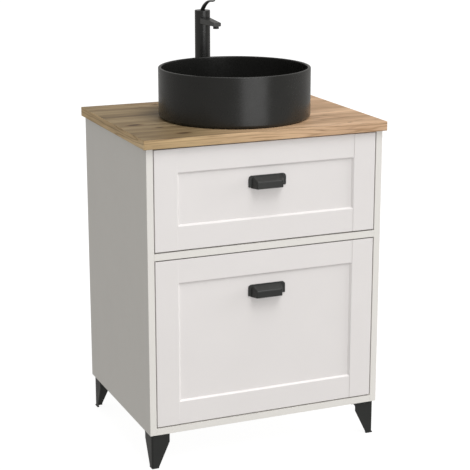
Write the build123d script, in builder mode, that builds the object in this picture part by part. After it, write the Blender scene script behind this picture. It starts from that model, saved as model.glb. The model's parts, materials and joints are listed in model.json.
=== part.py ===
from build123d import *
import os
from math import cos, radians

os.makedirs("parts", exist_ok=True)

# A free-standing 60 cm bathroom vanity with a vessel basin and a tall tap, in millimetres.
# Origin: on the floor, in the middle of the whole footprint. +X right, +Y to the wall, +Z up.

# ---- overall ----
TOP_WIDTH = 600
TOP_DEPTH = 466
TOP_THICK = 22
FOOTPRINT_DEPTH = 472          # from the front of the pulls to the back edge of the worktop
TOP_BACK = FOOTPRINT_DEPTH / 2
TOP_FRONT = TOP_BACK - TOP_DEPTH

# ---- carcass ----
BOARD = 16
CARCASS_WIDTH = 585
CARCASS_HEIGHT = 673
CARCASS_FRONT = TOP_FRONT + 9
CARCASS_BACK = TOP_BACK - 10
LEG_HEIGHT = 85
X_OUT = CARCASS_WIDTH / 2
X_IN = X_OUT - BOARD
Z_BASE = LEG_HEIGHT
Z_DECK = Z_BASE + CARCASS_HEIGHT
Z_TOP = Z_DECK + TOP_THICK
RAIL_Z = 502.5                 # underside of the rail between the drawers
RAIL_DEPTH = 100
STRETCHER_FRONT = CARCASS_FRONT + 21
STRETCHER_DEPTH = 100
REAR_STRETCHER_HEIGHT = 100
BACK_THICK = 3
BACK_FACE = 206                # front face of the back panel
BACK_GROOVE = 6
SERVICE_HALF = 110             # half width of the opening for the pipes
SERVICE_Z = 540
WALL_HOLE_R = 3
WALL_HOLE_X = 200

# ---- cam fittings ----
CAM_R = 7.5
CAM_DEPTH = 12.5
CAM_INSET = 34                 # from the joint to the middle of the cam
BOLT_R = 3
BOLT_IN = 10                   # into the side panel
FIT = 0.1

# ---- legs ----
LEG_INSET = 5
SHEET = 3
PAD = 3
FLANGE_A = 44
FLANGE_B = 47
TIP_B = 59
STRAIGHT = 22
FOOT = 17
LEG_SCREWS = ((20, 20), (34, 20), (20, 34))
SCREW_R = 1.9
SCREW_HEAD_R = 3.9
HEAD_DEPTH = 2

# ---- drawer fronts ----
FRONT_HALF = 274.5
FRONT_THICK = 18
STILE = 54.5
RAIL = 54
RAIL_DROP = 0.8                # rails lie a little behind the stiles
BEVEL = 5
PANEL_THICK = 8
PANEL_TONGUE = 8
UPPER_FRONT = (521.5, 754.5)
LOWER_FRONT = (104.0, 499.5)
FRONT_BACK = CARCASS_FRONT + FRONT_THICK
PANEL_FACE = CARCASS_FRONT + BEVEL

# ---- drawer boxes and runners ----
BOX_HALF = 263.5
BOX_WALL = 12
BOX_BACK = 187
BOX_BOTTOM = 6
BOX_GROOVE = 6
BOTTOM_UP = 8                  # the bottom's underside above the lower edge of the sides
UPPER_BOX = (536, 686)
LOWER_BOX = (118, 368)
NOTCH_HALF = 75
NOTCH_FRONT = -74
RUNNER_LENGTH = 400
RUNNER_FRONT = -200
RUNNER_WALL = 1.5
UPPER_RUNNER_Z = 565
LOWER_RUNNER_Z = 160
# (web distance from the side panel, flange tip distance, half height)
CABINET_MEMBER = (0, 9, 22.5)
MIDDLE_MEMBER = (3, 11, 19.5)
DRAWER_MEMBER = (11.5, 6, 14.5)

# ---- pulls ----
PULL_WIDTH = 93
PULL_HEIGHT = 27
PULL_PLATE = 2.5
PULL_REACH = 20
PULL_ROOT_HALF = 40.5
PULL_FRONT_HALF = 32
PULL_ROOT_TOP = 26
PULL_FRONT_TOP = 14.5
PULL_ROUND = 3.5               # the hood's front edges
PULL_DIP = 2                   # the hood hangs this far below the plate
PULL_WALL = 2.3
PULL_HOLE_X = 30
PULL_HOLE_Z = 12
PULL_SCREW_R = 1.95
UPPER_PULL_Z = 650
LOWER_PULL_Z = 392

# ---- basin and waste ----
BASIN_Y = -24
BASIN_R = 180
BASIN_HEIGHT = 117
BASIN_WALL = 7.5
SEAL = 1
Z_BASIN = Z_TOP + SEAL
Z_RIM = Z_BASIN + BASIN_HEIGHT
WASTE_HOLE_R = 23
TAIL_R = 20.5
TAIL_BORE = 16
TAIL_END = 710
PLUG_R = 30
PLUG_THICK = 6
STEM_R = 3

# ---- trap ----
TUBE_R = 16
TUBE_BORE = 14
OUTLET_Z = 610
SLIP_NUT_R = 27
NUT_LIP = 6
NUT_LENGTH = 24

# ---- tap ----
TAP_Y = 180
TAP_R = 19
TAP_HOLE_R = 17.5
SHANK_R = 16
SHANK_BORE = 13.5
SHANK_END = 725
TAP_TOP = Z_TOP + 224
CHAMBER_R = 15
SEAT_Z = Z_TOP + 176
INLET_R = 4.5
INLET_DEPTH = 14
INLET_X = 7
CARTRIDGE_R = 12.4
CARTRIDGE_TOP = Z_TOP + 212
PIVOT_Z = Z_TOP + 219
PIVOT_R = 4
CAP_GAP = 0.3
CAP_TOP = Z_TOP + 230
SPOUT_TIP_Y = TAP_Y - 98
AERATOR_Y = TAP_Y - 89
AERATOR_R = 7
AERATOR_LOW = Z_TOP + 193.4

UP = (0, 0, 1)
TO_WALL = (0, 1, 0)
TO_FRONT = (0, -1, 0)


def block(low, high, mode=Mode.ADD):
    """A box between two opposite corners."""
    with Locations(tuple((a + b) / 2 for a, b in zip(low, high))):
        Box(*(abs(b - a) for a, b in zip(low, high)), mode=mode)


def rod(start, direction, radius, length, mode=Mode.ADD):
    """A cylinder that starts at a point and runs along a direction."""
    with Locations(Plane(origin=start, z_dir=direction)):
        Cylinder(radius, length, align=(Align.CENTER, Align.CENTER, Align.MIN), mode=mode)


def taper(start, direction, radius, end_radius, length, mode=Mode.ADD):
    """A cone frustum that starts at a point and runs along a direction."""
    with Locations(Plane(origin=start, z_dir=direction)):
        Cone(radius, end_radius, length, align=(Align.CENTER, Align.CENTER, Align.MIN), mode=mode)


def turned(points, y, mode=Mode.ADD):
    """A solid of revolution: (radius, height) points turned about the upright axis at x 0 and this y."""
    with BuildSketch(Plane.XZ.offset(-y)) as profile:
        with BuildLine():
            Polyline(*points, close=True)
        make_face()
    revolve(profile.sketch, axis=Axis((0, y, 0), UP), mode=mode)


def finish(builder, name):
    """Label a finished piece and write its STEP file."""
    builder.part.label = name
    export_step(builder.part, f"parts/{name}.step")


# ---- cam sites: where a board meets the side panels ----
FLAT_CAMS = {
    "bottom_panel": (Z_BASE, (-130, 130)),
    "middle_rail": (RAIL_Z, (CARCASS_FRONT + 25, CARCASS_FRONT + 75)),
    "top_stretcher_front": (Z_DECK - BOARD, (STRETCHER_FRONT + 20, STRETCHER_FRONT + 80)),
}
REAR_FACE = CARCASS_BACK - BOARD
REAR_CAM_Z = (Z_DECK - 70, Z_DECK - 25)


def cam_sites():
    """Every cam: (board, side, middle of the cam's face, drilling direction, bolt y, bolt z)."""
    for side in (-1, 1):
        x = side * (X_IN - CAM_INSET)
        for board, (z, ys) in FLAT_CAMS.items():
            for y in ys:
                yield board, side, (x, y, z), UP, y, z + BOARD / 2
        for z in REAR_CAM_Z:
            yield "top_stretcher_rear", side, (x, REAR_FACE, z), TO_WALL, REAR_FACE + BOARD / 2, z


def drill_cams(board_name):
    """The cam and bolt holes of one board."""
    for board, side, face, direction, y, z in cam_sites():
        if board == board_name:
            rod(face, direction, CAM_R + FIT, CAM_DEPTH, Mode.SUBTRACT)
            rod((side * X_IN, y, z), (-side, 0, 0), BOLT_R + FIT, CAM_INSET, Mode.SUBTRACT)


# ======== carcass ========
with BuildPart() as worktop:
    block((-TOP_WIDTH / 2, TOP_FRONT, Z_DECK), (TOP_WIDTH / 2, TOP_BACK, Z_TOP))
    fillet(worktop.edges(), 1.2)
    rod((0, BASIN_Y, Z_DECK), UP, WASTE_HOLE_R + 2, TOP_THICK, Mode.SUBTRACT)
    rod((0, TAP_Y, Z_DECK), UP, TAP_HOLE_R, TOP_THICK, Mode.SUBTRACT)
    for x in (-230, -90, 90, 230):
        rod((x, STRETCHER_FRONT + STRETCHER_DEPTH / 2, Z_DECK), UP, SCREW_R + FIT, 13, Mode.SUBTRACT)
finish(worktop, "worktop")

for side, side_name in ((-1, "left"), (1, "right")):
    with BuildPart() as side_panel:
        block((side * X_IN, CARCASS_FRONT, Z_BASE), (side * X_OUT, CARCASS_BACK, Z_DECK))
        chamfer(side_panel.edges().group_by(Axis.Y)[0].filter_by(Axis.Z), 0.6)
        block(
            (side * X_IN, BACK_FACE, Z_BASE + BOARD - BACK_GROOVE),
            (side * (X_IN + BACK_GROOVE), BACK_FACE + BACK_THICK, Z_DECK - REAR_STRETCHER_HEIGHT),
            Mode.SUBTRACT,
        )
        for _, cam_side, _, _, y, z in cam_sites():
            if cam_side == side:
                rod((side * X_IN, y, z), (side, 0, 0), BOLT_R + FIT, BOLT_IN, Mode.SUBTRACT)
    finish(side_panel, f"side_panel_{side_name}")

LEG_CORNERS = {
    "leg_front_left": ((-X_OUT + LEG_INSET, CARCASS_FRONT + LEG_INSET), (1, 0, 0)),
    "leg_front_right": ((X_OUT - LEG_INSET, CARCASS_FRONT + LEG_INSET), (0, 1, 0)),
    "leg_rear_right": ((X_OUT - LEG_INSET, CARCASS_BACK - LEG_INSET), (-1, 0, 0)),
    "leg_rear_left": ((-X_OUT + LEG_INSET, CARCASS_BACK - LEG_INSET), (0, -1, 0)),
}


def leg_plane(name, z):
    """The level plane at a leg's outer corner, with its X along flange A and its Y along flange B."""
    (x, y), along_a = LEG_CORNERS[name]
    return Plane(origin=(x, y, z), x_dir=along_a, z_dir=UP)


def leg_screw_points(z):
    """Where each leg screw stands, at one height."""
    for name in LEG_CORNERS:
        for spot in LEG_SCREWS:
            yield leg_plane(name, z).from_local_coords(Vector(*spot, 0))


with BuildPart() as bottom_panel:
    block((-X_IN, CARCASS_FRONT, Z_BASE), (X_IN, CARCASS_BACK, Z_BASE + BOARD))
    block(
        (-X_IN, BACK_FACE, Z_BASE + BOARD - BACK_GROOVE),
        (X_IN, BACK_FACE + BACK_THICK, Z_BASE + BOARD),
        Mode.SUBTRACT,
    )
    drill_cams("bottom_panel")
    for point in leg_screw_points(Z_BASE):
        rod(point, UP, SCREW_R + FIT, 12, Mode.SUBTRACT)
finish(bottom_panel, "bottom_panel")

with BuildPart() as middle_rail:
    block((-X_IN, CARCASS_FRONT, RAIL_Z), (X_IN, CARCASS_FRONT + RAIL_DEPTH, RAIL_Z + BOARD))
    drill_cams("middle_rail")
finish(middle_rail, "middle_rail")

with BuildPart() as top_stretcher_front:
    block(
        (-X_IN, STRETCHER_FRONT, Z_DECK - BOARD),
        (X_IN, STRETCHER_FRONT + STRETCHER_DEPTH, Z_DECK),
    )
    drill_cams("top_stretcher_front")
    for x in (-230, -90, 90, 230):
        spot = (x, STRETCHER_FRONT + STRETCHER_DEPTH / 2, Z_DECK - BOARD)
        rod(spot, UP, SCREW_R + FIT, BOARD, Mode.SUBTRACT)
        taper(spot, UP, SCREW_HEAD_R + FIT, SCREW_R + FIT, HEAD_DEPTH, Mode.SUBTRACT)
finish(top_stretcher_front, "top_stretcher_front")

with BuildPart() as top_stretcher_rear:
    block((-X_IN, REAR_FACE, Z_DECK - REAR_STRETCHER_HEIGHT), (X_IN, CARCASS_BACK, Z_DECK))
    drill_cams("top_stretcher_rear")
    for x in (-WALL_HOLE_X, WALL_HOLE_X):
        spot = (x, REAR_FACE, Z_DECK - REAR_STRETCHER_HEIGHT / 2)
        rod(spot, TO_WALL, WALL_HOLE_R, BOARD, Mode.SUBTRACT)
finish(top_stretcher_rear, "top_stretcher_rear")

with BuildPart() as back_panel:
    block(
        (-X_IN - BACK_GROOVE, BACK_FACE, Z_BASE + BOARD - BACK_GROOVE),
        (X_IN + BACK_GROOVE, BACK_FACE + BACK_THICK, Z_DECK - REAR_STRETCHER_HEIGHT),
    )
    block(
        (-SERVICE_HALF, BACK_FACE, SERVICE_Z),
        (SERVICE_HALF, BACK_FACE + BACK_THICK, Z_DECK),
        Mode.SUBTRACT,
    )
finish(back_panel, "back_panel")

with BuildPart() as cam_locks:
    for _, side, face, direction, y, z in cam_sites():
        rod(face, direction, CAM_R, CAM_DEPTH - FIT)
        cross = Plane(origin=face, x_dir=(1, 0, 0), z_dir=direction)
        with Locations(cross):
            Box(9, 1.4, 6, mode=Mode.SUBTRACT)
            Box(1.4, 9, 6, mode=Mode.SUBTRACT)
        bolt_start = (side * (X_IN + BOLT_IN), y, z)
        rod(bolt_start, (-side, 0, 0), BOLT_R, BOLT_IN + CAM_INSET - CAM_R - FIT)
finish(cam_locks, "cam_locks")


def screw(point, direction, length):
    """A countersunk screw with its head at the point."""
    taper(point, direction, SCREW_HEAD_R, SCREW_R, HEAD_DEPTH)
    rod(point, direction, SCREW_R, length)


with BuildPart() as worktop_screws:
    for x in (-230, -90, 90, 230):
        screw((x, STRETCHER_FRONT + STRETCHER_DEPTH / 2, Z_DECK - BOARD), UP, 28)
finish(worktop_screws, "worktop_screws")


# ======== legs ========
def leg(name):
    """A pressed steel corner leg: two tapered flanges at a right angle under a screw plate."""
    corner = leg_plane(name, Z_BASE)
    along_a, along_b = corner.x_dir, corner.y_dir
    low = PAD - Z_BASE
    flare = TIP_B - FLANGE_B
    with BuildPart() as piece:
        with BuildSketch(Plane(origin=corner.origin, x_dir=along_a, z_dir=-along_b)):
            with BuildLine():
                Polyline((0, 0), (FLANGE_A, 0), (FLANGE_A, -STRAIGHT), (FOOT, low), (0, low), close=True)
            make_face()
        extrude(amount=-SHEET)
        with BuildSketch(Plane(origin=corner.origin, x_dir=along_b, z_dir=along_a)):
            with BuildLine():
                Polyline((FLANGE_B, -2 - flare), (FLANGE_B, -STRAIGHT), (FOOT, low), (0, low), (0, 0),
                         (TIP_B, 0), (TIP_B, -2))
                half_way = flare * (1 - cos(radians(45)))
                ThreePointArc((TIP_B, -2), (FLANGE_B + half_way, -2 - half_way), (FLANGE_B, -2 - flare))
            make_face()
        extrude(amount=SHEET)
        with BuildSketch(corner):
            with BuildLine():
                Polyline((0, 0), (FLANGE_A, 0), (FLANGE_A, 12), (12, TIP_B), (0, TIP_B), close=True)
            make_face()
        extrude(amount=-SHEET)
        outer_edge = piece.edges().filter_by(Axis.Z).sort_by_distance(corner.origin)[0]
        fillet(outer_edge, 5)
        for spot in LEG_SCREWS:
            hole = corner.from_local_coords(Vector(*spot, -SHEET))
            rod(hole, UP, SCREW_R + FIT, SHEET, Mode.SUBTRACT)
            taper(hole, UP, SCREW_HEAD_R + FIT, SCREW_R + FIT, HEAD_DEPTH, Mode.SUBTRACT)
    finish(piece, name)


for leg_name in LEG_CORNERS:
    leg(leg_name)

with BuildPart() as leg_screws:
    for point in leg_screw_points(Z_BASE - SHEET):
        screw(point, UP, SHEET + 11)
finish(leg_screws, "leg_screws")

with BuildPart() as foot_pads:
    pad_out, pad_in = -0.5, SHEET + 1.5
    for name in LEG_CORNERS:
        with BuildSketch(leg_plane(name, 0)):
            with BuildLine():
                Polyline(
                    (pad_out, pad_out), (FOOT, pad_out), (FOOT, pad_in),
                    (pad_in, pad_in), (pad_in, FOOT), (pad_out, FOOT), close=True,
                )
            make_face()
        extrude(amount=PAD)
    chamfer(foot_pads.edges().group_by(Axis.Z)[0], 0.8)
finish(foot_pads, "foot_pads")


# ======== drawer fronts ========
def frame_cuts(low, high):
    """What every piece of a front's frame loses: the bevelled opening and the panel's groove."""
    middle = (low + high) / 2
    with BuildSketch(Plane(origin=(0, CARCASS_FRONT, middle), x_dir=(-1, 0, 0), z_dir=TO_WALL)) as opening:
        Rectangle(2 * (FRONT_HALF - STILE), high - low - 2 * RAIL)
    extrude(opening.sketch, amount=BEVEL, taper=45, mode=Mode.SUBTRACT)
    panel_x, panel_low, panel_high = panel_size(low, high)
    block(
        (-panel_x, PANEL_FACE, panel_low),
        (panel_x, PANEL_FACE + PANEL_THICK, panel_high),
        Mode.SUBTRACT,
    )


def panel_size(low, high):
    """Half width, lower edge and upper edge of a front's recessed panel, with its tongues."""
    inset = BEVEL - PANEL_TONGUE
    return FRONT_HALF - STILE - inset, low + RAIL + inset, high - RAIL - inset


def front(prefix, low, high, pull_z):
    """The five pieces of an inset framed drawer front."""
    edge = FRONT_HALF - STILE
    for side, side_name in ((-1, "left"), (1, "right")):
        with BuildPart() as stile:
            block((side * FRONT_HALF, CARCASS_FRONT, low), (side * edge, FRONT_BACK, high))
            block(
                (side * edge, CARCASS_FRONT, low + RAIL + BEVEL),
                (side * (edge - BEVEL), FRONT_BACK, high - RAIL - BEVEL),
            )
            outer = stile.faces().sort_by(Axis.Y)[0].edges().sort_by(Axis.X)[0 if side < 0 else -1]
            chamfer(outer, 0.8)
            frame_cuts(low, high)
        finish(stile, f"{prefix}_stile_{side_name}")

    for rail_name, rail_low, rail_high in (
        ("bottom", low, low + RAIL + BEVEL),
        ("top", high - RAIL - BEVEL, high),
    ):
        with BuildPart() as rail:
            block((-edge, CARCASS_FRONT + RAIL_DROP, rail_low), (edge, FRONT_BACK, rail_high))
            frame_cuts(low, high)
        finish(rail, f"{prefix}_rail_{rail_name}")

    panel_x, panel_low, panel_high = panel_size(low, high)
    with BuildPart() as panel:
        block((-panel_x, PANEL_FACE, panel_low), (panel_x, PANEL_FACE + PANEL_THICK, panel_high))
        for x in (-PULL_HOLE_X, PULL_HOLE_X):
            start = (x, PANEL_FACE, pull_z + PULL_HOLE_Z)
            rod(start, TO_WALL, PULL_SCREW_R + 0.3, PANEL_THICK, Mode.SUBTRACT)
    finish(panel, f"{prefix}_panel")


front("upper", *UPPER_FRONT, UPPER_PULL_Z)
front("lower", *LOWER_FRONT, LOWER_PULL_Z)


# ======== pulls ========
def hood_section(plane, half, low, high, corner):
    """One section of the pull's hood, with rounded upper corners."""
    with BuildSketch(plane) as section:
        with Locations((0, (low + high) / 2)):
            Rectangle(2 * half, high - low)
        fillet(section.vertices().group_by(Axis.Y)[-1], corner)
    return section.sketch


def pull(prefix, z):
    """A cast cup pull: a plate with rounded upper corners and a hood open below."""
    wall_plane = Plane(origin=(0, PANEL_FACE, z), x_dir=(1, 0, 0), z_dir=TO_FRONT)
    with BuildPart() as handle:
        root = hood_section(wall_plane, PULL_ROOT_HALF, -PULL_DIP, PULL_ROOT_TOP, 8)
        front_end = hood_section(
            wall_plane.offset(PULL_REACH), PULL_FRONT_HALF, -PULL_DIP, PULL_FRONT_TOP, 4,
        )
        loft([root, front_end])
        front_edges = handle.faces().sort_by(Axis.Y)[0].edges()
        fillet(front_edges.sort_by(Axis.Z)[1:], PULL_ROUND)
        hollow_root = hood_section(
            wall_plane, PULL_ROOT_HALF - PULL_WALL, -PULL_DIP - 1, PULL_ROOT_TOP - PULL_WALL, 6,
        )
        hollow_end = hood_section(
            wall_plane.offset(PULL_REACH - PULL_WALL),
            PULL_FRONT_HALF - PULL_WALL, -PULL_DIP - 1, PULL_FRONT_TOP - PULL_WALL, 2.5,
        )
        loft([hollow_root, hollow_end], mode=Mode.SUBTRACT)
        with BuildSketch(wall_plane) as plate:
            with Locations((0, PULL_HEIGHT / 2)):
                Rectangle(PULL_WIDTH, PULL_HEIGHT)
            fillet(plate.vertices().group_by(Axis.Y)[-1], 8)
            fillet(plate.vertices().group_by(Axis.Y)[0], 2)
        extrude(amount=PULL_PLATE)
        for x in (-PULL_HOLE_X, PULL_HOLE_X):
            rod((x, PANEL_FACE, z + PULL_HOLE_Z), TO_FRONT, 4.2, 11)
            rod((x, PANEL_FACE, z + PULL_HOLE_Z), TO_FRONT, PULL_SCREW_R + FIT, 10, Mode.SUBTRACT)
    finish(handle, f"{prefix}_handle")

    head_y = PANEL_FACE + PANEL_THICK
    with BuildPart() as screws:
        for x in (-PULL_HOLE_X, PULL_HOLE_X):
            rod((x, head_y, z + PULL_HOLE_Z), TO_WALL, 4, 2.6)
            rod((x, head_y, z + PULL_HOLE_Z), TO_FRONT, PULL_SCREW_R, PANEL_THICK + 9)
            with Locations((x, head_y + 2.6, z + PULL_HOLE_Z)):
                Box(4.6, 2, 1, mode=Mode.SUBTRACT)
                Box(1, 2, 4.6, mode=Mode.SUBTRACT)
    finish(screws, f"{prefix}_handle_screws")


pull("upper", UPPER_PULL_Z)
pull("lower", LOWER_PULL_Z)


# ======== drawer boxes ========
def bottom_span(box):
    """Lower and upper face of a drawer's bottom panel."""
    return box[0] + BOTTOM_UP, box[0] + BOTTOM_UP + BOX_BOTTOM


def drawer_sides(prefix, box):
    """The two side boards of a drawer box, grooved for its bottom."""
    low, high = bottom_span(box)
    inner = BOX_HALF - BOX_WALL
    with BuildPart() as sides:
        for side in (-1, 1):
            block((side * inner, FRONT_BACK, box[0]), (side * BOX_HALF, BOX_BACK, box[1]))
            block(
                (side * inner, FRONT_BACK, low),
                (side * (inner + BOX_GROOVE), BOX_BACK, high),
                Mode.SUBTRACT,
            )
    finish(sides, f"{prefix}_drawer_sides")


drawer_sides("upper", UPPER_BOX)
drawer_sides("lower", LOWER_BOX)

inside = BOX_HALF - BOX_WALL
notch_outer = NOTCH_HALF + BOX_WALL
bottom_low, bottom_high = bottom_span(UPPER_BOX)

with BuildPart() as upper_drawer_back:
    for side in (-1, 1):
        block(
            (side * notch_outer, BOX_BACK - BOX_WALL, bottom_high),
            (side * inside, BOX_BACK, UPPER_BOX[1]),
        )
finish(upper_drawer_back, "upper_drawer_back")

with BuildPart() as upper_notch_walls:
    block(
        (-notch_outer, NOTCH_FRONT - BOX_WALL, bottom_high),
        (notch_outer, NOTCH_FRONT, UPPER_BOX[1]),
    )
    for side in (-1, 1):
        block(
            (side * NOTCH_HALF, NOTCH_FRONT, bottom_high),
            (side * notch_outer, BOX_BACK, UPPER_BOX[1]),
        )
finish(upper_notch_walls, "upper_notch_walls")

with BuildPart() as upper_drawer_bottom:
    half = inside + BOX_GROOVE
    block((-half, FRONT_BACK, bottom_low), (half, BOX_BACK, bottom_high))
    block((-NOTCH_HALF, NOTCH_FRONT, bottom_low), (NOTCH_HALF, BOX_BACK, bottom_high), Mode.SUBTRACT)
finish(upper_drawer_bottom, "upper_drawer_bottom")

bottom_low, bottom_high = bottom_span(LOWER_BOX)

with BuildPart() as lower_drawer_back:
    block((-inside, BOX_BACK - BOX_WALL, bottom_high), (inside, BOX_BACK, LOWER_BOX[1]))
finish(lower_drawer_back, "lower_drawer_back")

with BuildPart() as lower_drawer_bottom:
    half = inside + BOX_GROOVE
    block((-half, FRONT_BACK, bottom_low), (half, BOX_BACK, bottom_high))
finish(lower_drawer_bottom, "lower_drawer_bottom")


# ======== runners ========
def runner_member(name, member, z):
    """One member of the left and right runners: an upright web with a flange above and below."""
    web, tip, half = member
    far = web + RUNNER_WALL
    root = far if tip > web else web
    with BuildPart() as pair:
        for side in (-1, 1):
            def at(distance):
                return side * (X_IN - distance)

            block(
                (at(web), RUNNER_FRONT, z - half),
                (at(far), RUNNER_FRONT + RUNNER_LENGTH, z + half),
            )
            for level in (-1, 1):
                block(
                    (at(root), RUNNER_FRONT, z + level * half),
                    (at(tip), RUNNER_FRONT + RUNNER_LENGTH, z + level * (half - RUNNER_WALL)),
                )
    finish(pair, name)


for prefix, z in (("upper", UPPER_RUNNER_Z), ("lower", LOWER_RUNNER_Z)):
    runner_member(f"{prefix}_runner_cabinet_members", CABINET_MEMBER, z)
    runner_member(f"{prefix}_runner_middle_members", MIDDLE_MEMBER, z)
    runner_member(f"{prefix}_runner_drawer_members", DRAWER_MEMBER, z)


# ======== basin and waste ========
FLANGE_Z = Z_BASIN + 12        # where the waste flange sits
FLOOR_Z = Z_BASIN + 14.5       # basin floor beside the flange
FLANGE_R = 31

with BuildPart() as basin:
    with BuildSketch(Plane.XZ.offset(-BASIN_Y)):
        wall_in = BASIN_R - BASIN_WALL
        with BuildLine():
            Line((WASTE_HOLE_R, FLANGE_Z), (WASTE_HOLE_R, Z_BASIN + 5))
            Polyline((WASTE_HOLE_R, Z_BASIN + 5), (158, Z_BASIN + 5), (158, Z_BASIN), (173, Z_BASIN))
            RadiusArc((173, Z_BASIN), (BASIN_R, Z_BASIN + 7), -7)
            Line((BASIN_R, Z_BASIN + 7), (BASIN_R, Z_RIM - 2.5))
            RadiusArc((BASIN_R, Z_RIM - 2.5), (BASIN_R - 2.5, Z_RIM), -2.5)
            Line((BASIN_R - 2.5, Z_RIM), (wall_in + 2.5, Z_RIM))
            RadiusArc((wall_in + 2.5, Z_RIM), (wall_in, Z_RIM - 2.5), -2.5)
            Line((wall_in, Z_RIM - 2.5), (wall_in, FLOOR_Z + 28))
            RadiusArc((wall_in, FLOOR_Z + 28), (wall_in - 26, FLOOR_Z + 2), 26)
            Line((wall_in - 26, FLOOR_Z + 2), (FLANGE_R + 1, FLOOR_Z))
            Polyline((FLANGE_R + 1, FLOOR_Z), (FLANGE_R + 1, FLANGE_Z), (WASTE_HOLE_R, FLANGE_Z))
        make_face()
    revolve(axis=Axis((0, BASIN_Y, 0), UP))
finish(basin, "basin")

with BuildPart() as basin_seal:
    turned([(160, Z_TOP), (171, Z_TOP), (171, Z_BASIN), (160, Z_BASIN)], BASIN_Y)
finish(basin_seal, "basin_seal")

HUB_Z = FLANGE_Z - 30
with BuildPart() as waste_body:
    turned(
        [
            (TAIL_BORE, TAIL_END), (TAIL_R, TAIL_END), (TAIL_R, FLANGE_Z), (FLANGE_R, FLANGE_Z),
            (FLANGE_R, FLANGE_Z + 2), (FLANGE_R - 1, FLANGE_Z + 3), (TAIL_BORE + 4, FLANGE_Z + 3),
            (TAIL_BORE, FLANGE_Z - 3),
        ],
        BASIN_Y,
    )
    rod((0, BASIN_Y, HUB_Z), UP, 6, 8)
    with Locations((0, BASIN_Y, HUB_Z + 4)):
        with PolarLocations(TAIL_BORE / 2, 3):
            Box(TAIL_BORE + 1, 2.5, 8)
    rod((0, BASIN_Y, HUB_Z), UP, STEM_R + 0.06, 8, Mode.SUBTRACT)
finish(waste_body, "waste_body")

with BuildPart() as waste_plug:
    plug_low = FLANGE_Z + 3.4
    rod((0, BASIN_Y, plug_low), UP, PLUG_R, PLUG_THICK)
    fillet(waste_plug.faces().sort_by(Axis.Z)[-1].edges(), 3)
    rod((0, BASIN_Y, plug_low), (0, 0, -1), STEM_R, plug_low - HUB_Z + 14)
finish(waste_plug, "waste_plug")

with BuildPart() as waste_washer:
    turned([(TAIL_R + FIT, Z_DECK - 3), (32, Z_DECK - 3), (32, Z_DECK), (TAIL_R + FIT, Z_DECK)], BASIN_Y)
finish(waste_washer, "waste_washer")


def ribs(centre, direction, radius, length, count):
    """Grip ribs round a nut."""
    with Locations(Plane(origin=centre, z_dir=direction)):
        with PolarLocations(radius, count):
            Box(2.4, 2.4, length, align=(Align.CENTER, Align.CENTER, Align.MIN))


with BuildPart() as waste_nut:
    nut_low = Z_DECK - 15
    rod((0, BASIN_Y, nut_low), UP, 29, 12)
    ribs((0, BASIN_Y, nut_low), UP, 29, 12, 8)
    rod((0, BASIN_Y, nut_low), UP, TAIL_R + FIT, 12, Mode.SUBTRACT)
finish(waste_nut, "waste_nut")


# ======== bottle trap ========
def slip_nut(lip_centre, direction):
    """A slip nut: a narrow lip round the tube, then the wider threaded ring."""
    rod(lip_centre, direction, SLIP_NUT_R, NUT_LENGTH)
    ribs(lip_centre, direction, SLIP_NUT_R, NUT_LENGTH, 12)
    rod(lip_centre, direction, TUBE_R + 0.2, NUT_LENGTH, Mode.SUBTRACT)
    x, y, z = (c + NUT_LIP * d for c, d in zip(lip_centre, direction))
    rod((x, y, z), direction, TAIL_R + 0.2, NUT_LENGTH, Mode.SUBTRACT)


STUB_END = 30
HEAD_R = 30
HEAD_LOW = OUTLET_Z - 40
HEAD_HIGH = OUTLET_Z + 32
CUP_LOW = 528

with BuildPart() as trap_slip_nuts:
    slip_nut((0, BASIN_Y, TAIL_END - NUT_LIP - 2), UP)
    slip_nut((0, STUB_END + NUT_LIP + 2, OUTLET_Z), TO_FRONT)
finish(trap_slip_nuts, "trap_slip_nuts")

with BuildPart() as trap_body:
    rod((0, BASIN_Y + HEAD_R - 4, OUTLET_Z), TO_WALL, TAIL_R, STUB_END - BASIN_Y - HEAD_R + 4)
    turned(
        [
            (TUBE_BORE, CUP_LOW + 17), (TUBE_R, CUP_LOW + 17), (TUBE_R, HEAD_HIGH - 5),
            (HEAD_R - 3, HEAD_HIGH - 5), (HEAD_R - 3, HEAD_LOW), (HEAD_R, HEAD_LOW), (HEAD_R, HEAD_HIGH - 4),
            (HEAD_R - 4, HEAD_HIGH), (TUBE_R, HEAD_HIGH), (TUBE_R, TAIL_END - 0.5),
            (TUBE_BORE, TAIL_END - 0.5),
        ],
        BASIN_Y,
    )
    bore_start = BASIN_Y + TUBE_R + 3
    rod((0, bore_start, OUTLET_Z), TO_WALL, TUBE_R + 0.3, STUB_END - bore_start, Mode.SUBTRACT)
finish(trap_body, "trap_body")

with BuildPart() as trap_cup:
    ledge = HEAD_LOW - 0.4
    turned(
        [
            (0, CUP_LOW), (25, CUP_LOW), (29, CUP_LOW + 4), (29, ledge - 12), (34, ledge - 7),
            (34, ledge + 16), (HEAD_R + 0.3, ledge + 16), (HEAD_R + 0.3, ledge), (26, ledge),
            (26, CUP_LOW + 7), (22, CUP_LOW + 3), (0, CUP_LOW + 3),
        ],
        BASIN_Y,
    )
    ribs((0, BASIN_Y, ledge - 6), UP, 33.6, 20, 12)
    rod((0, BASIN_Y, ledge), UP, HEAD_R + 0.3, 16, Mode.SUBTRACT)
finish(trap_cup, "trap_cup")

with BuildPart() as trap_outlet_pipe:
    pipe_start = (0, STUB_END + 0.3, OUTLET_Z)
    rod(pipe_start, TO_WALL, TUBE_R, TOP_BACK - STUB_END - 0.3)
    rod((0, STUB_END + NUT_LIP + 4, OUTLET_Z), TO_WALL, TUBE_R + 2, 2)
    rod(pipe_start, TO_WALL, TUBE_BORE, TOP_BACK - STUB_END - 0.3, Mode.SUBTRACT)
finish(trap_outlet_pipe, "trap_outlet_pipe")


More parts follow.
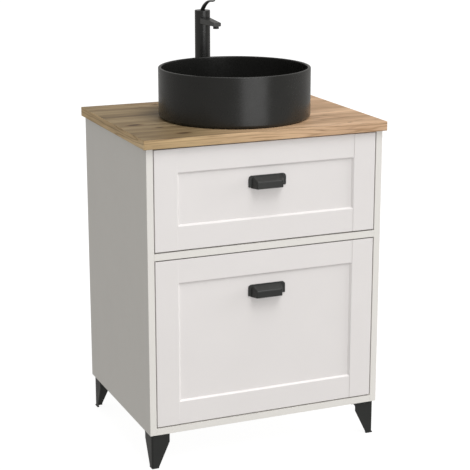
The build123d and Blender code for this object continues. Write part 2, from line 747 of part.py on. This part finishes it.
# ======== tap ========
def spout_section(y, half, low, high):
    """One upright section across the spout."""
    with BuildSketch(Plane.XZ.offset(-y)) as section:
        with Locations((0, (low + high) / 2)):
            RectangleRounded(2 * half, high - low, 2.5)
    return section.sketch


with BuildPart() as tap_body:
    rod((0, TAP_Y, Z_TOP + SEAL), UP, TAP_R, TAP_TOP - Z_TOP - SEAL)
    rod((0, TAP_Y, SHANK_END), UP, SHANK_R, Z_TOP + SEAL - SHANK_END)
    spout_root = spout_section(TAP_Y - 10, 13.2, Z_TOP + 196.6, Z_TOP + 214)
    spout_tip = spout_section(SPOUT_TIP_Y, 9.4, Z_TOP + 199.6, Z_TOP + 209)
    loft([spout_root, spout_tip])
    rod((0, TAP_Y, SHANK_END), UP, SHANK_BORE, Z_TOP + SEAL - SHANK_END, Mode.SUBTRACT)
    rod((0, TAP_Y, SEAT_Z), UP, CHAMBER_R, TAP_TOP - SEAT_Z, Mode.SUBTRACT)
    for x in (-INLET_X, INLET_X):
        rod((x, TAP_Y, Z_TOP + SEAL), UP, INLET_R, INLET_DEPTH, Mode.SUBTRACT)
        rod((x, TAP_Y, Z_TOP + SEAL), UP, 3, SEAT_Z - Z_TOP - SEAL, Mode.SUBTRACT)
    rod((0, TAP_Y - 13, Z_TOP + 204.6), TO_FRONT, 3.5, TAP_Y - 13 - AERATOR_Y, Mode.SUBTRACT)
    rod((0, AERATOR_Y, Z_TOP + 198), UP, AERATOR_R + 0.15, 8.6, Mode.SUBTRACT)
finish(tap_body, "tap_body")

with BuildPart() as tap_aerator:
    rod((0, AERATOR_Y, AERATOR_LOW), UP, AERATOR_R, 12.6)
    rod((0, AERATOR_Y, AERATOR_LOW), UP, 5.4, 3, Mode.SUBTRACT)
    with Locations((0, AERATOR_Y, AERATOR_LOW + 6)):
        Cylinder(0.9, 14, mode=Mode.SUBTRACT)
        with PolarLocations(3.4, 6):
            Cylinder(0.9, 14, mode=Mode.SUBTRACT)
finish(tap_aerator, "tap_aerator")

with BuildPart() as tap_base_gasket:
    rod((0, TAP_Y, Z_TOP), UP, TAP_R, SEAL)
    rod((0, TAP_Y, Z_TOP), UP, SHANK_R + FIT, SEAL, Mode.SUBTRACT)
finish(tap_base_gasket, "tap_base_gasket")

with BuildPart() as tap_back_nut:
    rod((0, TAP_Y, Z_DECK - 12), UP, 24, 12)
    ribs((0, TAP_Y, Z_DECK - 12), UP, 24, 12, 8)
    rod((0, TAP_Y, Z_DECK - 12), UP, SHANK_R + FIT, 12, Mode.SUBTRACT)
finish(tap_back_nut, "tap_back_nut")

with BuildPart() as tap_cartridge:
    rod((0, TAP_Y, SEAT_Z), UP, CARTRIDGE_R, CARTRIDGE_TOP - SEAT_Z)
    rod((0, TAP_Y, CARTRIDGE_TOP - 8), UP, 8.2, 8, Mode.SUBTRACT)
finish(tap_cartridge, "tap_cartridge")

with BuildPart() as tap_cap:
    rod((0, TAP_Y, CARTRIDGE_TOP + 0.5), UP, CHAMBER_R - 0.4, TAP_TOP - CARTRIDGE_TOP - 0.5 + CAP_GAP)
    rod((0, TAP_Y, TAP_TOP + CAP_GAP), UP, TAP_R, CAP_TOP - TAP_TOP - CAP_GAP)
    chamfer(tap_cap.faces().sort_by(Axis.Z)[-1].edges(), 0.6)
    rod((0, TAP_Y, CARTRIDGE_TOP + 0.5), UP, CARTRIDGE_R + 0.4, TAP_TOP - CARTRIDGE_TOP - 0.5, Mode.SUBTRACT)
    block((-6.2, TAP_Y - 8.5, TAP_TOP - 1), (6.2, TAP_Y + 13, CAP_TOP + 1), Mode.SUBTRACT)
    rod((-CHAMBER_R, TAP_Y, PIVOT_Z), (1, 0, 0), PIVOT_R + 0.06, 2 * CHAMBER_R, Mode.SUBTRACT)
    block(
        (-CHAMBER_R, TAP_Y - PIVOT_R - 0.06, CARTRIDGE_TOP),
        (CHAMBER_R, TAP_Y + PIVOT_R + 0.06, PIVOT_Z),
        Mode.SUBTRACT,
    )
finish(tap_cap, "tap_cap")


def lever_section(forward, rise, half_width, half_thick, lean):
    """One section of the lever: its place ahead of and above the tap's top, and how far it leans."""
    origin = (0, TAP_Y - forward, Z_TOP + rise)
    direction = Vector(0, -1, 0).rotate(Axis.X, -lean)
    with BuildSketch(Plane(origin=origin, x_dir=(1, 0, 0), z_dir=direction)) as section:
        Ellipse(half_width, half_thick)
    return section.sketch


# (forward, height above the worktop, half width, half thickness, degrees up from level)
LEVER_SECTIONS = (
    (0, 219, 5.4, 5.3, 90),
    (2, 231, 5.4, 5.3, 76),
    (14.2, 242, 4.9, 4.6, 48),
    (29, 250.2, 4.4, 3.6, 26),
    (46, 255.6, 4.1, 2.6, 14),
    (77, 260.2, 3.6, 1.6, 3),
)
with BuildPart() as tap_lever:
    loft([lever_section(*section) for section in LEVER_SECTIONS])
    rod((-CHAMBER_R + 0.8, TAP_Y, PIVOT_Z), (1, 0, 0), PIVOT_R, 2 * CHAMBER_R - 1.6)
    rod((0, TAP_Y, PIVOT_Z), (0, 0, -1), 2.3, 12)
finish(tap_lever, "tap_lever")
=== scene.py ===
"""Vessel sink on a vanity: finishes, the basin's mesh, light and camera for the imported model, in metres."""

import json
import math

import bmesh
import bpy
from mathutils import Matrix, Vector


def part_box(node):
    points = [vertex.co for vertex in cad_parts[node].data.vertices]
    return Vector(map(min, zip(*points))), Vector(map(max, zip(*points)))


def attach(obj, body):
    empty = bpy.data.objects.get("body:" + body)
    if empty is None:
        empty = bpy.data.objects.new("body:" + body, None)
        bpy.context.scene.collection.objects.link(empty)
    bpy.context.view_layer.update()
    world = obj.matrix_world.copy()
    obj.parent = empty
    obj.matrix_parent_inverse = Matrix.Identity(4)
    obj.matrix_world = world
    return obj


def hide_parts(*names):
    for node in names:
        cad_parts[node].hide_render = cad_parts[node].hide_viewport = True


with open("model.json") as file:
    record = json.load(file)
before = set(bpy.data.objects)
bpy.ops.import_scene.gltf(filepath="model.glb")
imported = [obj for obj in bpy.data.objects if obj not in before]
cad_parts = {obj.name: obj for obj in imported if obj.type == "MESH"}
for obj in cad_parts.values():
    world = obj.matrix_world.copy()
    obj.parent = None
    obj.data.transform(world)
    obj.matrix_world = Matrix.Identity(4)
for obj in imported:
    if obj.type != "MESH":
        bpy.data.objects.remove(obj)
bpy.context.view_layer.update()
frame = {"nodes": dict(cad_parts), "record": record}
NODES = frame["nodes"]


# ======== material kit ========
class Finish:
    """A node material whose textures are laid out in the row frame's metres."""

    def __init__(self, name, **sockets):
        self.material = bpy.data.materials.new(name)
        self.material.use_nodes = True
        self.tree = self.material.node_tree
        self.shader = self.tree.nodes["Principled BSDF"]
        for socket, value in sockets.items():
            self.shader.inputs[socket.replace("_", " ")].default_value = value
        self.place = self.node("ShaderNodeTexCoord").outputs["Object"]

    def node(self, kind, inputs=(), **settings):
        made = self.tree.nodes.new(kind)
        for key, value in settings.items():
            setattr(made, key, value)
        for socket, value in dict(inputs).items():
            self.put(value, made.inputs[socket])
        return made

    def put(self, value, socket):
        if isinstance(value, bpy.types.NodeSocket):
            self.tree.links.new(value, socket)
        else:
            socket.default_value = value

    def feed(self, socket, value):
        self.put(value, self.shader.inputs[socket])

    def scaled(self, scale, offset=(0, 0, 0), vector=None):
        inputs = {"Vector": vector or self.place, "Scale": scale, "Location": offset}
        return self.node("ShaderNodeMapping", inputs).outputs["Vector"]

    def noise(self, vector, scale=1.0, detail=2.0, roughness=0.5, distortion=0.0):
        inputs = {"Vector": vector, "Scale": scale, "Detail": detail, "Roughness": roughness,
                  "Distortion": distortion}
        return self.node("ShaderNodeTexNoise", inputs).outputs["Fac"]

    def maths(self, operation, *values):
        return self.node("ShaderNodeMath", dict(enumerate(values)), operation=operation).outputs[0]

    def ramp(self, value, *stops):
        made = self.node("ShaderNodeValToRGB", {"Fac": value})
        elements = made.color_ramp.elements
        while len(elements) < len(stops):
            elements.new(0.5)
        for element, (position, colour) in zip(elements, stops):
            element.position = position
            grey = isinstance(colour, (int, float))
            element.color = (colour, colour, colour, 1) if grey else (*colour, 1)
        return made.outputs["Color"]

    def spread(self, value, low, high, from_low=0.3, from_high=0.7):
        """A noise value carried to a wanted range."""
        inputs = {"Value": value, "From Min": from_low, "From Max": from_high, "To Min": low,
                  "To Max": high}
        return self.node("ShaderNodeMapRange", inputs).outputs["Result"]

    def mix(self, kind, amount, first, second):
        made = self.node("ShaderNodeMix", data_type="RGBA", blend_type=kind)
        self.put(amount, made.inputs[0])
        self.put(first, made.inputs[6])
        self.put(second, made.inputs[7])
        return made.outputs[2]

    def bump(self, *layers):
        """Layers of (height, strength, distance in metres), one on top of the other."""
        normal = None
        for height, strength, distance in layers:
            inputs = {"Height": height, "Strength": strength, "Distance": distance}
            if normal:
                inputs["Normal"] = normal
            normal = self.node("ShaderNodeBump", inputs).outputs["Normal"]
        self.feed("Normal", normal)
        return self


def tinted(colour, factor):
    return tuple(min(1, c * factor) for c in colour)


def coated(name, colour, rough, grain, grain_height, shade=0.06, rough_swing=0.05, **sockets):
    """A sprayed, moulded or glazed surface: slight mottling, uneven gloss and a fine skin."""
    made = Finish(name, **sockets)
    cloud = made.noise(made.place, 9, 3)
    fine = made.noise(made.place, grain, 2)
    darker, lighter = tinted(colour, 1 - shade), tinted(colour, 1 + shade)
    made.feed("Base Color", made.ramp(cloud, (0.3, darker), (0.7, lighter)))
    gloss = made.noise(made.place, 34, 3)
    made.feed("Roughness", made.spread(gloss, rough - rough_swing, rough + rough_swing))
    return made.bump((fine, 0.25, grain_height)).material


def brushed(name, colour, rough, along):
    """Plated steel with fine drawing lines along one axis."""
    made = Finish(name, Metallic=1.0)
    stretch = [420, 420, 420]
    stretch[along] = 5
    lines = made.noise(made.scaled(stretch), 1, 2)
    blotch = made.noise(made.place, 30, 3)
    darker, lighter = tinted(colour, 0.86), tinted(colour, 1.08)
    made.feed("Base Color", made.ramp(blotch, (0.3, darker), (0.7, lighter)))
    made.feed("Roughness", made.spread(lines, rough - 0.08, rough + 0.1))
    return made.bump((lines, 0.10, 0.00002)).material


# ======== materials ========
# the oak's dark, middle and light tones at the left and right ends of the worktop
OLIVE = ((0.424, 0.288, 0.140), (0.686, 0.485, 0.248), (0.880, 0.650, 0.362))
ROSY = ((0.518, 0.328, 0.185), (0.737, 0.480, 0.292), (0.872, 0.592, 0.378))
TOP_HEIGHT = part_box("worktop")[1].z
# (x, y, size) of the knots on the worktop's face
KNOTS = (
    (-0.188, -0.181, 0.0066), (-0.259, -0.046, 0.0080), (-0.215, -0.095, 0.0040), (0.262, 0.150, 0.0050),
    (0.215, -0.205, 0.0030), (-0.120, 0.196, 0.0045),
)


def oak():
    """Oak-look laminate: the grain runs along the worktop's length, and along each edge band."""
    made = Finish("oak", Coat_Weight=0.05, Coat_Roughness=0.4)
    normal = made.node("ShaderNodeSeparateXYZ", {0: made.node("ShaderNodeTexCoord").outputs["Normal"]})
    on_end = made.maths("GREATER_THAN", made.maths("ABSOLUTE", normal.outputs[0]), 0.7)
    on_top = made.maths("GREATER_THAN", made.maths("ABSOLUTE", normal.outputs[2]), 0.7)
    part = made.node("ShaderNodeSeparateXYZ", {0: made.place}).outputs
    turned = made.node("ShaderNodeCombineXYZ", {0: part[1], 1: part[0], 2: part[2]})
    layout = made.node("ShaderNodeMix", data_type="VECTOR")
    made.put(on_end, layout.inputs[0])
    made.put(made.place, layout.inputs[4])
    made.put(turned.outputs[0], layout.inputs[5])
    grain = layout.outputs[1]

    def along(stretch, offset, detail, roughness=0.5, distortion=0.0):
        """Noise drawn out along the grain."""
        return made.noise(made.scaled(stretch, offset, grain), 1, detail, roughness, distortion)

    # knots: each pushes the grain aside and darkens its middle
    knots = 0.0
    for x, y, size in KNOTS:
        away = made.node("ShaderNodeVectorMath", {0: made.place, 1: (x, y, TOP_HEIGHT)}, operation="SUBTRACT")
        drawn_out = {0: away.outputs[0], 1: (0.42, 1, 1)}
        squeezed = made.node("ShaderNodeVectorMath", drawn_out, operation="MULTIPLY")
        distance = made.node("ShaderNodeVectorMath", {0: squeezed.outputs[0]}, operation="LENGTH")
        near = made.maths("DIVIDE", distance.outputs["Value"], size)
        bell = made.maths("EXPONENT", made.maths("MULTIPLY", made.maths("MULTIPLY", near, near), -1.0))
        knots = made.maths("ADD", bell, knots)

    # growth rings, streaks, fibre and pores
    board = along((1.5, 11, 26), (2.1, 0.4, 0), 2, 0.5, 0.5)
    wander = along((4, 24, 40), (0, 0, 0), 3, 0.55)
    swerve = made.maths("MULTIPLY_ADD", knots, 1.6, made.maths("MULTIPLY", wander, 2.6))
    ring = made.maths("PINGPONG", made.maths("MULTIPLY_ADD", board, 9.0, swerve), 0.5)
    streak = along((2.6, 70, 70), (5, 1, 2), 4, 0.6, 0.3)
    broad = along((1.7, 26, 26), (1, 7, 3), 2, 0.5, 0.3)
    fibre = along((14, 800, 800), (0, 0, 0), 3, 0.6)
    pores = made.ramp(along((22, 520, 520), (7, 3, 1), 1), (0.28, 0.5), (0.38, 1.0))

    # the wood turns from olive on the left to rosy on the right; its top face carries painted shade, darker
    # than its edges, and darker still towards the left
    warmth = made.maths("MULTIPLY_ADD", part[0], 1.5, along((2, 6, 6), (3, 3, 3), 2))
    toward = made.spread(warmth, 0, 1, 0.25, 0.75)
    olive = made.ramp(broad, *zip((0.30, 0.47, 0.66), OLIVE))
    rosy = made.ramp(broad, *zip((0.30, 0.47, 0.66), ROSY))
    colour = made.mix("MIX", toward, olive, rosy)
    edge_tone = made.ramp(toward, (0.0, 1.0), (1.0, 0.88))
    # painted shade: the top face's colour is multiplied down against the edges, to 0.47 at the left end and
    # 1.0 at the right
    painted_top_shade = made.ramp(toward, (0.0, 0.47), (1.0, 1.0))
    colour = made.mix("MULTIPLY", 1.0, colour, made.mix("MIX", on_top, edge_tone, painted_top_shade))

    rings = made.ramp(ring, (0.0, (0.60, 0.54, 0.46)), (0.16, 0.93), (0.5, 1.05))
    colour = made.mix("MULTIPLY", made.spread(on_top, 0.95, 0.62, 0, 1), colour, rings)
    streaks = made.ramp(streak, (0.30, (0.52, 0.46, 0.39)), (0.52, 1.0), (0.8, 1.0))
    colour = made.mix("MULTIPLY", 0.8, colour, streaks)
    colour = made.mix("MULTIPLY", 0.5, colour, made.ramp(fibre, (0.3, 0.84), (0.7, 1.10)))
    colour = made.mix("MULTIPLY", 0.45, colour, pores)
    knot_tone = made.ramp(knots, (0.06, 1.0), (0.42, (0.58, 0.48, 0.37)), (0.8, (0.15, 0.10, 0.07)))
    made.feed("Base Color", made.mix("MULTIPLY", 1.0, colour, knot_tone))
    made.feed("Roughness", made.spread(fibre, 0.48, 0.64))
    return made.bump((fibre, 0.25, 0.00008), (pores, 0.3, 0.0001)).material


MATERIALS = {
    "oak_top": oak(),
    "white_board": coated("white_board", (0.790, 0.770, 0.735), 0.44, 900, 0.00004, 0.010),
    "white_front": coated("white_front", (0.797, 0.769, 0.762), 0.40, 700, 0.00005, 0.010),
    "back_board": coated("back_board", (0.74, 0.73, 0.70), 0.60, 500, 0.00010, 0.020),
    "drawer_board": coated("drawer_board", (0.68, 0.68, 0.67), 0.50, 600, 0.00008, 0.020),
    "drawer_bottom": coated("drawer_bottom", (0.72, 0.72, 0.70), 0.55, 500, 0.00010, 0.020),
    "black_metal": coated("black_metal", (0.014, 0.015, 0.014), 0.40, 1500, 0.00010, 0.15),
    "black_tap": coated("black_tap", (0.023, 0.023, 0.022), 0.25, 1800, 0.00003, 0.08),
    "black_basin": coated("black_basin", (0.016, 0.016, 0.015), 0.27, 800, 0.00002, 0.15, 0.03, IOR=1.43),
    "black_trim": coated("black_trim", (0.016, 0.016, 0.016), 0.30, 1500, 0.00003, 0.08),
    "steel": brushed("steel", (0.62, 0.62, 0.60), 0.34, 2),
    "zinc_cam": coated("zinc_cam", (0.52, 0.52, 0.53), 0.45, 600, 0.00008, 0.08, Metallic=1.0),
    "runner_steel": brushed("runner_steel", (0.66, 0.67, 0.68), 0.30, 1),
    "white_plastic": coated("white_plastic", (0.80, 0.80, 0.78), 0.28, 260, 0.00006, 0.015),
    "black_plastic": coated("black_plastic", (0.022, 0.022, 0.022), 0.55, 900, 0.00008, 0.10),
    "grey_plastic": coated("grey_plastic", (0.30, 0.32, 0.35), 0.42, 500, 0.00005, 0.05),
    "rubber": coated("rubber", (0.035, 0.035, 0.035), 0.70, 900, 0.00008, 0.12),
}

SLOTS = {row["node"]: row["material_slot"] for row in frame["record"]["subparts"]}
for name, slot in SLOTS.items():
    NODES[name].data.materials.clear()
    NODES[name].data.materials.append(MATERIALS[slot])


# ======== mesh kit ========
def piece(name, vertices, faces, node, crease=35):
    """A finished mesh that stands for one CAD node, rides its body and takes its slot."""
    mesh = bpy.data.meshes.new(name)
    mesh.from_pydata(vertices, [], faces)
    fixed = bmesh.new()
    fixed.from_mesh(mesh)
    bmesh.ops.remove_doubles(fixed, verts=fixed.verts, dist=1e-7)
    bmesh.ops.recalc_face_normals(fixed, faces=fixed.faces)
    fixed.to_mesh(mesh)
    fixed.free()
    mesh.shade_smooth()
    mesh.set_sharp_from_angle(angle=math.radians(crease))
    mesh.materials.append(MATERIALS[SLOTS[node]])
    made = bpy.data.objects.new(name, mesh)
    bpy.context.scene.collection.objects.link(made)
    body = next(b for b, nodes in frame["record"]["behaviour"]["bodies"].items() if node in nodes)
    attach(made, body)
    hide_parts(node)
    return made


def arc(centre, radius, start, end, steps=10):
    """Points of an arc in a profile, angles in degrees."""
    turns = [math.radians(start + (end - start) * i / steps) for i in range(steps + 1)]
    return [(centre[0] + radius * math.cos(t), centre[1] + radius * math.sin(t)) for t in turns]


def lathe(profile, x, y, segments=224):
    """Vertices and faces of a closed (radius, height) profile turned about an upright axis."""
    vertices, faces = [], []
    for i in range(segments):
        turn = 2 * math.pi * i / segments
        vertices += [(x + r * math.cos(turn), y + r * math.sin(turn), z) for r, z in profile]
    count = len(profile)
    for i in range(segments):
        ring, following = i * count, (i + 1) % segments * count
        for k in range(count):
            n = (k + 1) % count
            faces.append((ring + k, following + k, following + n, ring + n))
    return vertices, faces


# ======== basin ========
WALL = 0.0075
RIM_ROUND = 0.0025
EDGE_ROUND = 0.007
CORNER_ROUND = 0.026
FLOOR_RISE = 0.0145
FLOOR_FALL = 0.002
FOOT_RADIUS, FOOT_DEPTH = 0.158, 0.005
FLANGE_RADIUS, FLANGE_RISE = 0.032, 0.012
HOLE_RADIUS = 0.023


def basin_profile(radius, base, rim):
    """The basin's section as (radius, height), from its waste hole round the outside and back."""
    inner, recess, floor = radius - WALL, base + FLANGE_RISE, base + FLOOR_RISE
    foot, outer_low, round_top = base + FOOT_DEPTH, base + EDGE_ROUND, rim - RIM_ROUND
    corner = floor + FLOOR_FALL + CORNER_ROUND
    floor_edge = inner - CORNER_ROUND - 0.001
    wall_step, floor_step = 1 / 8, 1 / 10
    return [
        (HOLE_RADIUS + 0.0002, recess),
        (HOLE_RADIUS, recess - 0.0002),
        (HOLE_RADIUS, foot),
        (FOOT_RADIUS, foot),
        (FOOT_RADIUS, base),
        (radius - EDGE_ROUND, base),
        *arc((radius - EDGE_ROUND, outer_low), EDGE_ROUND, -80, 0, 12),
        *((radius, outer_low + (round_top - outer_low) * i * wall_step) for i in range(1, 8)),
        *arc((radius - RIM_ROUND, round_top), RIM_ROUND, 0, 90, 12),
        *arc((inner + RIM_ROUND, round_top), RIM_ROUND, 90, 180, 12),
        *((inner, round_top - (round_top - corner) * i * wall_step) for i in range(1, 8)),
        *arc((inner - CORNER_ROUND, corner), CORNER_ROUND, 0, -88, 18),
        *((floor_edge - (floor_edge - 0.034) * i * floor_step, floor + 0.0019 * (1 - i * floor_step))
          for i in range(1, 10)),
        (FLANGE_RADIUS + 0.0008, floor + 0.0001),
        (FLANGE_RADIUS + 0.0002, floor - 0.0002),
        (FLANGE_RADIUS, recess),
    ]


def build_basin():
    lowest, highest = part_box("basin")
    middle = (lowest + highest) / 2
    profile = basin_profile((highest.x - lowest.x) / 2, lowest.z, highest.z)
    return piece("basin_glazed", *lathe(profile, middle.x, middle.y), "basin")


build_basin()


# ======== boards: eased edges ========
def eased(node, width):
    """Rounds a board's sharp edges a little, as a foiled or edge-banded board has them."""
    weld = node.modifiers.new("weld", "WELD")
    weld.merge_threshold = 0.00001
    bevel = node.modifiers.new("eased", "BEVEL")
    bevel.width = width
    bevel.segments = 2
    bevel.limit_method = "ANGLE"
    bevel.angle_limit = math.radians(40)


for name, slot in SLOTS.items():
    if slot == "white_front" and not name.endswith("panel"):
        eased(NODES[name], 0.0009)


# ======== floor, light and camera ========
def aimed(spot, target):
    return (Vector(target) - Vector(spot)).to_track_quat("-Z", "Y").to_euler()


def softbox(name, spot, target, width, height, watts):
    data = bpy.data.lights.new(name, "AREA")
    data.shape = "RECTANGLE"
    data.size, data.size_y = width, height
    data.energy = watts
    lamp = bpy.data.objects.new(name, data)
    lamp.location = spot
    lamp.rotation_euler = aimed(spot, target)
    lamp.visible_camera = False
    bpy.context.scene.collection.objects.link(lamp)
    return lamp


def sunlight(name, spot, softness, strength):
    data = bpy.data.lights.new(name, "SUN")
    data.energy = strength
    data.angle = math.radians(softness)
    lamp = bpy.data.objects.new(name, data)
    lamp.rotation_euler = aimed(spot, (0, 0, 0))
    bpy.context.scene.collection.objects.link(lamp)


def pale_floor():
    """A wide white floor that shows to the camera only, so it doesn't tint the object from below."""
    mesh = bpy.data.meshes.new("floor")
    disc = bmesh.new()
    bmesh.ops.create_circle(disc, cap_ends=True, segments=96, radius=40)
    disc.to_mesh(mesh)
    disc.free()
    floor = bpy.data.objects.new("floor", mesh)
    floor.visible_diffuse = floor.visible_glossy = floor.visible_transmission = False
    bpy.context.scene.collection.objects.link(floor)
    pale = Finish("pale_floor", Roughness=0.9, Emission_Color=(1, 1, 1, 1), Emission_Strength=0.92)
    pale.feed("Base Color", pale.ramp(pale.noise(pale.place, 3), (0.3, 0.14), (0.7, 0.16)))
    mesh.materials.append(pale.material)


def white_room():
    """A soft, slightly warm surround, seen by the camera as plain white."""
    world = bpy.data.worlds.new("studio")
    world.use_nodes = True
    nodes, links = world.node_tree.nodes, world.node_tree.links
    light = nodes["Background"]
    light.inputs["Strength"].default_value = 0.426
    light.inputs["Color"].default_value = (1, 0.985, 0.955, 1)
    shown = nodes.new("ShaderNodeBackground")
    shown.inputs["Color"].default_value = (1, 1, 1, 1)
    path = nodes.new("ShaderNodeLightPath")
    choose = nodes.new("ShaderNodeMixShader")
    links.new(path.outputs["Is Camera Ray"], choose.inputs[0])
    links.new(light.outputs[0], choose.inputs[1])
    links.new(shown.outputs[0], choose.inputs[2])
    links.new(choose.outputs[0], nodes["World Output"].inputs["Surface"])
    bpy.context.scene.world = world


def lamps():
    softbox("low", (-0.3, -3.2, 0.65), (0, 0, 0.35), 2.2, 1.0, 22).visible_glossy = False
    softbox("side", (3.2, -0.7, 1.1), (0, 0, 0.5), 1.2, 1.6, 52).visible_glossy = False
    softbox("sheen", (0.28, -2.52, 1.0), (0, 0, 0.8), 1.7, 1.9, 19).visible_diffuse = False
    sunlight("high", (0.4, -1.0, 1.8), 50, 0.62)
    sunlight("steep", (0.4, -1.2, 2.6), 30, 1.0)


EYE = (-1.30792, -3.14032, 1.38536)
LOOKS_DOWN, TURNS_RIGHT = 14.89, 22.79
LENS, SENSOR = 110.29, 36


def camera():
    data = bpy.data.cameras.new("camera")
    data.lens = LENS
    data.sensor_width = SENSOR
    eye = bpy.data.objects.new("camera", data)
    eye.location = EYE
    eye.rotation_euler = (math.radians(90 - LOOKS_DOWN), 0, math.radians(-TURNS_RIGHT))
    bpy.context.scene.collection.objects.link(eye)
    bpy.context.scene.camera = eye


pale_floor()
white_room()
lamps()
camera()
bpy.context.scene.view_settings.view_transform = "Standard"
